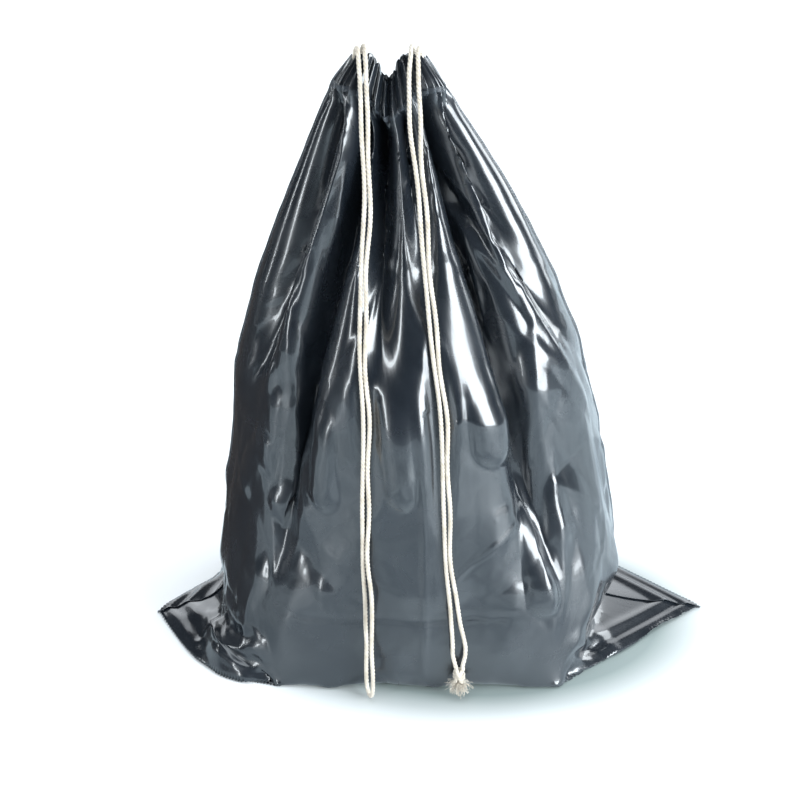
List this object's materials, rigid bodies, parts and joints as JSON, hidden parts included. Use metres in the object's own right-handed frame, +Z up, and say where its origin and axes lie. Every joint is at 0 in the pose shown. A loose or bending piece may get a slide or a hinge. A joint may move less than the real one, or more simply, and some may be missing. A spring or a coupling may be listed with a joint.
{
  "type": "laundry bag",
  "caption": "Drawstring laundry bag of thin glossy film, standing upright and full, closed by a cotton cord that runs through the hem round its mouth.",
  "frame": {"origin": "on the floor, midway between the tips of the two flattened bottom corners", "axes": "+Z up, from the base to the mouth; -Y to the front, where the cords hang; +X to the right seen from the front"},
  "size_m": [0.395, 0.2293, 0.4219],
  "materials": {
    "film": "glossy grey film with sharp creases",
    "weld": "pressed heat-seal line, slightly duller than the film",
    "cotton_cord": "undyed twisted cotton, matt and slightly fuzzy"
  },
  "bodies": {
    "bag": {"front_panel": "film", "back_panel": "film", "left_front_corner": "film", "left_back_corner": "film", "right_front_corner": "film", "right_back_corner": "film", "front_hem": "film", "back_hem": "film", "bottom_weld": "weld", "left_side_weld": "weld", "right_side_weld": "weld", "front_hem_weld": "weld", "back_hem_weld": "weld", "cord_front_run": "cotton_cord", "cord_back_run": "cotton_cord"},
    "left_loop": {"left_cord_outer_strand": "cotton_cord", "left_cord_inner_strand": "cotton_cord", "left_cord_bight": "cotton_cord"},
    "right_pair": {"right_cord_inner_strand": "cotton_cord", "right_cord_outer_strand": "cotton_cord", "cord_knot": "cotton_cord", "left_frayed_end": "cotton_cord", "right_frayed_end": "cotton_cord"}
  },
  "joints": [
    {"name": "left_loop_swing", "type": "hinge", "parent": "bag", "child": "left_loop", "pos_m": [-0.0455, -0.015, 0.4195], "axis": [-1, 0, 0], "range_deg": [0, 155]},
    {"name": "right_pair_swing", "type": "hinge", "parent": "bag", "child": "right_pair", "pos_m": [-0.0125, -0.015, 0.4195], "axis": [-1, 0, 0], "range_deg": [0, 155]}
  ]
}
